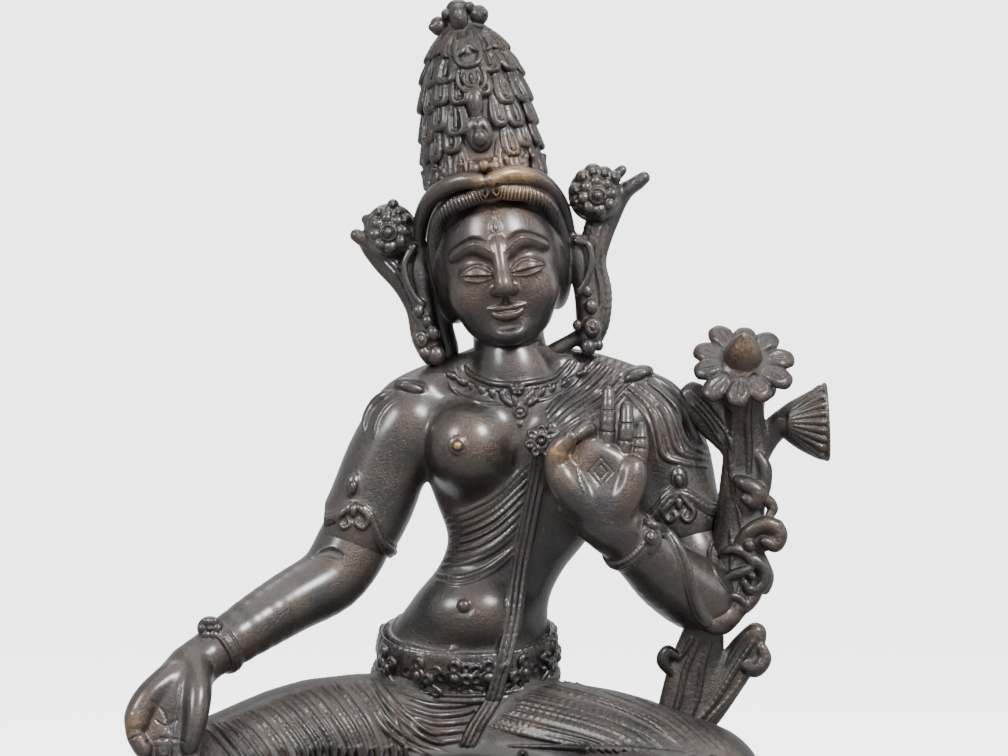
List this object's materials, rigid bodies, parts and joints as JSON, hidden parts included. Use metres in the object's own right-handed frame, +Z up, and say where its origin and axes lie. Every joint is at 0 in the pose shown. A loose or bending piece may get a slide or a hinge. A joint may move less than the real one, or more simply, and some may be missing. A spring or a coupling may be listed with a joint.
{
  "type": "tara figure",
  "caption": "Seated Tara in dark cast bronze on an oval lotus plinth, one hand lowered open over the knee, the other raised beside a tall open lotus.",
  "frame": {"origin": "middle of the plinth's flat underside", "axes": "+Z up; the figure faces -Y; +X is on the viewer's right, the figure's left"},
  "size_m": [0.2098, 0.1076, 0.2989],
  "materials": {
    "dark_bronze": "dark brown patinated bronze, satin, with grey dust in the hollows and rubbed golden high points",
    "plinth_bronze": "dark brown patinated bronze, satin, a little duller than the figure"
  },
  "bodies": {
    "root": {"tara_figure": "dark_bronze", "lotus_plinth": "plinth_bronze"}
  },
  "joints": []
}
